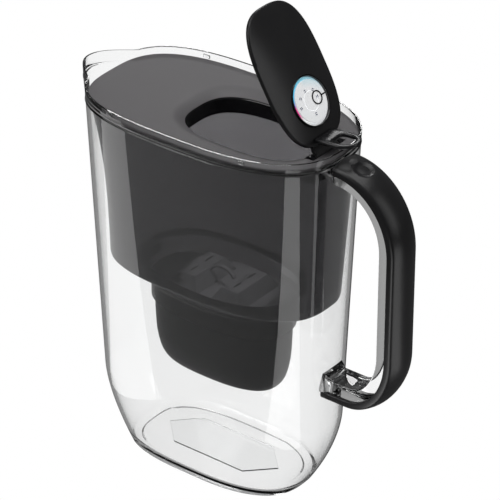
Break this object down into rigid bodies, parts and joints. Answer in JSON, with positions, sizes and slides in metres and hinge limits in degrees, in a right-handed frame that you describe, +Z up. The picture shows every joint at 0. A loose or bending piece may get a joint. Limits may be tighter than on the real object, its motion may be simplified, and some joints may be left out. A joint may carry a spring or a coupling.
{
  "type": "water filter pitcher with flip lid",
  "caption": "Clear water filter pitcher with a smoke-tinted funnel and filter cartridge, a grey lid, an open black flip lid with a reminder dial, and a black-backed side handle",
  "frame": {"origin": "middle of the standing ring's plane, under the middle of the rim", "axes": "+X towards the handle, -X towards the spout, +Z up"},
  "size_m": [0.2574, 0.1088, 0.345],
  "materials": {
    "clear_plastic": "clear injection-moulded plastic, glossy on both faces",
    "smoke_plastic": "smoke-tinted translucent plastic, glossy",
    "black_satin_plastic": "black plastic with a fine satin spark texture",
    "black_gloss_plastic": "black plastic, polished",
    "grey_matte_plastic": "dark grey plastic with a fine matte texture",
    "grey_plastic": "mid-grey moulded plastic",
    "seal_rubber": "soft black rubber",
    "granules": "dark granules mixed with pale beads",
    "mesh_white": "fine white mesh",
    "steel": "plain ground steel",
    "dial_print": "printed in pale blue, cyan and magenta on white",
    "dial_white": "white plastic with a pale blue print"
  },
  "bodies": {
    "jug": {"jug_body": "clear_plastic", "handle_cover": "black_satin_plastic"},
    "funnel": {"funnel": "smoke_plastic"},
    "cartridge": {"cartridge_body": "black_satin_plastic", "cartridge_cap": "grey_plastic", "cartridge_pull": "grey_plastic", "cartridge_seal": "seal_rubber", "filter_media": "granules", "top_screen": "mesh_white", "bottom_screen": "mesh_white"},
    "lid": {"lid_plate": "grey_matte_plastic", "lid_frame": "black_gloss_plastic", "hinge_pin": "steel"},
    "flip_lid": {"flip_lid_shell": "black_satin_plastic", "flip_lid_base": "black_satin_plastic", "thumb_lever": "black_satin_plastic", "dial_cup": "black_gloss_plastic", "dial_scale": "dial_print", "dial_rivet": "steel"},
    "dial": {"dial_disc": "dial_white", "dial_pointer": "black_gloss_plastic"}
  },
  "joints": [
    {"name": "funnel_lift", "type": "slide", "parent": "jug", "child": "funnel", "axis": [0, 0, 1], "range_m": [0, 0.2]},
    {"name": "lid_lift", "type": "slide", "parent": "funnel", "child": "lid", "axis": [0, 0, 1], "range_m": [0, 0.08]},
    {"name": "flip_lid_hinge", "type": "hinge", "parent": "lid", "child": "flip_lid", "pos_m": [0.0795, 0, 0.258], "axis": [0, 1, 0], "range_deg": [-59.1, 0]},
    {"name": "dial_turn", "type": "hinge", "parent": "flip_lid", "child": "dial", "pos_m": [0.06925, 0, 0.29091], "axis": [0.8581, 0, 0.5135], "continuous": true},
    {"name": "cartridge_lift", "type": "slide", "parent": "funnel", "child": "cartridge", "axis": [0, 0, 1], "range_m": [0, 0.09]}
  ]
}
